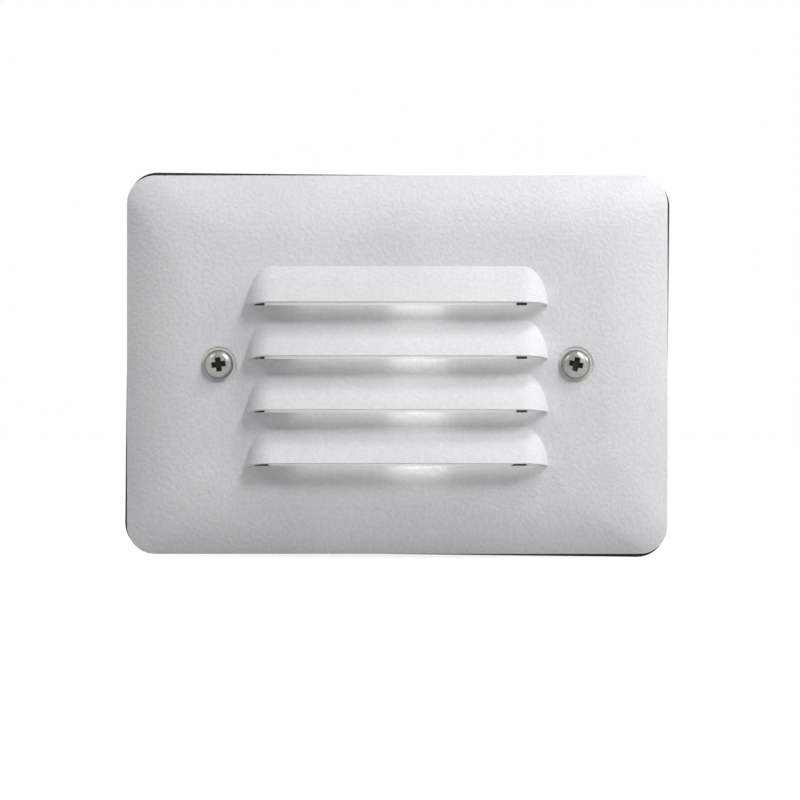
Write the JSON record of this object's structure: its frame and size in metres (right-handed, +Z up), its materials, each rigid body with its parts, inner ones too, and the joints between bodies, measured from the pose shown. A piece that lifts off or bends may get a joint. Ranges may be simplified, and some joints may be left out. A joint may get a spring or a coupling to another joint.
{
  "type": "step light",
  "caption": "Recessed louvred step light: domed landscape faceplate with hooded louvres, gasket and screws over a cast wall box with lens, reflector, socket and wedge lamp.",
  "frame": {"origin": "centre of the faceplate on the wall's surface, where the gasket's back face lies", "axes": "+Z up, +X to the right as seen from the front, +Y into the wall, so the light faces -Y"},
  "size_m": [0.128, 0.0666, 0.0904],
  "materials": {
    "white_powder_coat": "fine textured powder coat",
    "black_foam_rubber": "matt closed-cell sheet",
    "stainless_steel": "satin",
    "pale_nylon": "natural nylon",
    "black_silicone": "smooth",
    "frosted_glass": "acid-etched on the back",
    "zinc_plated_steel": "bright zinc",
    "cast_aluminium": "as cast",
    "plug_aluminium": "turned",
    "green_steel": "green dye over zinc",
    "white_enamel": "gloss enamel",
    "white_ceramic": "steatite, unglazed",
    "spring_brass": "bright strip",
    "lead_insulation": "stranded wire in sleeving",
    "connector_plastic": "moulded cap",
    "lamp_glass": "clear",
    "lamp_wire": "drawn wire",
    "tungsten": "coiled wire"
  },
  "bodies": {
    "root": {"housing": "cast_aluminium", "faceplate_gasket": "black_foam_rubber", "closure_plug": "plug_aluminium", "ground_screw": "green_steel", "reflector": "white_enamel", "reflector_screws": "zinc_plated_steel", "socket_bracket": "zinc_plated_steel", "socket_body": "white_ceramic", "socket_contacts": "spring_brass", "socket_leads": "lead_insulation", "wire_connectors": "connector_plastic"},
    "cover": {"faceplate": "white_powder_coat", "lens_gasket": "black_silicone", "lens": "frosted_glass", "lens_retainer": "zinc_plated_steel", "retainer_screws": "zinc_plated_steel"},
    "left_seal": {"left_seal_washer": "pale_nylon"},
    "left_screw": {"left_screw": "stainless_steel"},
    "right_seal": {"right_seal_washer": "pale_nylon"},
    "right_screw": {"right_screw": "stainless_steel"},
    "lamp": {"lamp_bulb": "lamp_glass", "lamp_wires": "lamp_wire", "lamp_filament": "tungsten"}
  },
  "joints": [
    {"name": "cover_pull", "type": "slide", "parent": "root", "child": "cover", "axis": [0, -1, 0], "range_m": [0, 0.06]},
    {"name": "left_screw_travel", "type": "slide", "parent": "cover", "child": "left_seal", "axis": [0, -1, 0], "range_m": [0, 0.00829]},
    {"name": "left_screw_turn", "type": "hinge", "parent": "left_seal", "child": "left_screw", "pos_m": [-0.04167, 0, 0], "axis": [0, -1, 0], "range_deg": [0, 3760]},
    {"name": "right_screw_travel", "type": "slide", "parent": "cover", "child": "right_seal", "axis": [0, -1, 0], "range_m": [0, 0.00829]},
    {"name": "right_screw_turn", "type": "hinge", "parent": "right_seal", "child": "right_screw", "pos_m": [0.04167, 0, 0], "axis": [0, -1, 0], "range_deg": [0, 3760]},
    {"name": "lamp_pull", "type": "slide", "parent": "root", "child": "lamp", "axis": [1, 0, 0], "range_m": [0, 0.009]}
  ],
  "couplings": [
    {"joint": "left_screw_turn", "follows": "left_screw_travel", "rad_per_m": 7915.8},
    {"joint": "right_screw_turn", "follows": "right_screw_travel", "rad_per_m": 7915.8}
  ]
}
